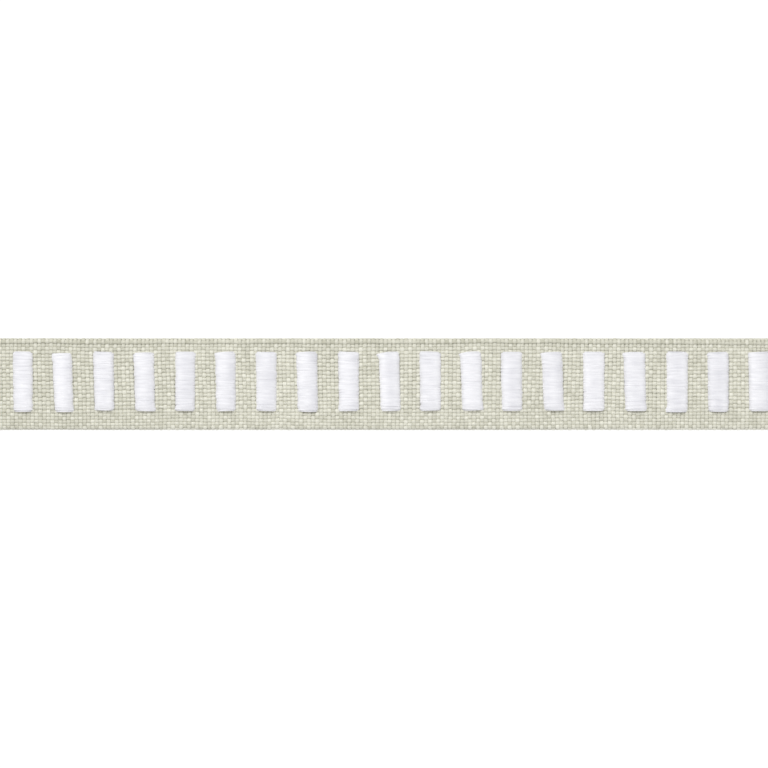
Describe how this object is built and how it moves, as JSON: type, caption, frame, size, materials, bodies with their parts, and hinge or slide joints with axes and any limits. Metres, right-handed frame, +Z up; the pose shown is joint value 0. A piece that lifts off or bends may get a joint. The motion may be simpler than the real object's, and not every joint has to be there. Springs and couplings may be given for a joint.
{
  "type": "tape trim",
  "caption": "Flat length of linen tape with turned-under edges and a row of raised satin-stitched bars, for edging curtains, cushions and upholstery.",
  "frame": {"origin": "middle of the underside, at the centre of the length and width, on the surface that the tape lies on", "axes": "+X along the tape's length, +Y across its width towards the edge nearer to the bars' ends, +Z up out of the stitched face"},
  "size_m": [0.2378, 0.0254, 0.0033],
  "materials": {
    "linen": "matt plain-woven natural linen, pale greige",
    "satin_thread": "smooth white embroidery thread with a soft sheen"
  },
  "bodies": {
    "root": {"linen_tape": "linen", "satin_bar_01": "satin_thread", "satin_bar_02": "satin_thread", "satin_bar_03": "satin_thread", "satin_bar_04": "satin_thread", "satin_bar_05": "satin_thread", "satin_bar_06": "satin_thread", "satin_bar_07": "satin_thread", "satin_bar_08": "satin_thread", "satin_bar_09": "satin_thread", "satin_bar_10": "satin_thread", "satin_bar_11": "satin_thread", "satin_bar_12": "satin_thread", "satin_bar_13": "satin_thread", "satin_bar_14": "satin_thread", "satin_bar_15": "satin_thread", "satin_bar_16": "satin_thread", "satin_bar_17": "satin_thread", "satin_bar_18": "satin_thread", "satin_bar_19": "satin_thread", "satin_bar_20": "satin_thread", "satin_bar_21": "satin_thread"}
  },
  "joints": []
}
